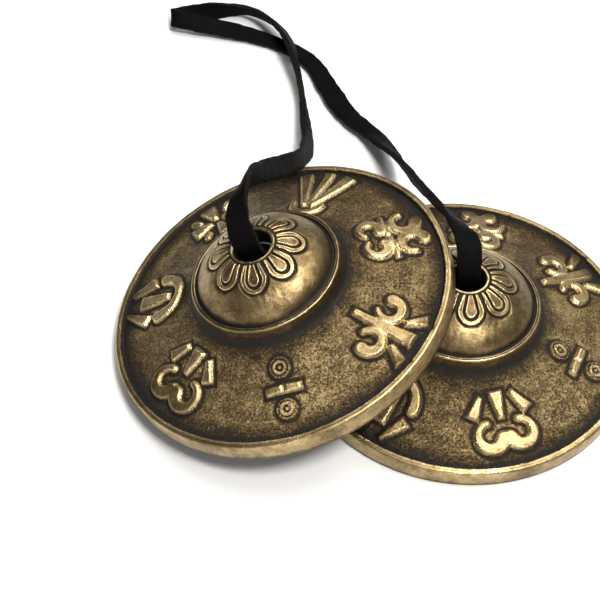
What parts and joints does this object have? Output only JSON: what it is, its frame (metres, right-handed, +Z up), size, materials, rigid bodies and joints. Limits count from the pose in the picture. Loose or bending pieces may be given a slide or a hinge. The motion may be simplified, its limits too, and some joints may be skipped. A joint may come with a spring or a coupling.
{
  "type": "hand cymbals",
  "caption": "Pair of small thick cast brass hand cymbals with raised ornaments and a petalled boss, joined by a flat black leather strap knotted inside each bore.",
  "frame": {"origin": "bottom centre of the box round the two cymbals, on the surface that they lie on", "axes": "+Z up, +X from the tilted front cymbal towards the flat back one, +Y towards the strap's loop"},
  "size_m": [0.098, 0.133, 0.0375],
  "materials": {
    "cast_brass": "antique, darkened in the hollows and worn bright on the high spots",
    "strap_leather": "matt black"
  },
  "bodies": {
    "back_cymbal": {"cymbal_back": "cast_brass"},
    "back_knot": {"knot_back": "strap_leather", "strap_end_back": "strap_leather"},
    "strap": {"strap": "strap_leather"},
    "front_knot": {"knot_front": "strap_leather", "strap_end_front": "strap_leather"},
    "front_cymbal": {"cymbal_front": "cast_brass"}
  },
  "joints": [
    {"name": "back_spin", "type": "hinge", "parent": "back_cymbal", "child": "back_knot", "pos_m": [0.0165, 0, 0.0184], "axis": [0, 0, 1], "continuous": true},
    {"name": "back_swing", "type": "hinge", "parent": "back_knot", "child": "strap", "pos_m": [0.0165, 0, 0.0206], "axis": [0, 1, 0], "range_deg": [0, 50]},
    {"name": "front_swing", "type": "hinge", "parent": "strap", "child": "front_knot", "pos_m": [-0.02303, 0, 0.02924], "axis": [-0.7302, -0.6832, 0], "range_deg": [0, 25]},
    {"name": "front_spin", "type": "hinge", "parent": "front_knot", "child": "front_cymbal", "pos_m": [-0.02237, 0, 0.02714], "axis": [-0.2974, 0, 0.9548], "continuous": true}
  ]
}
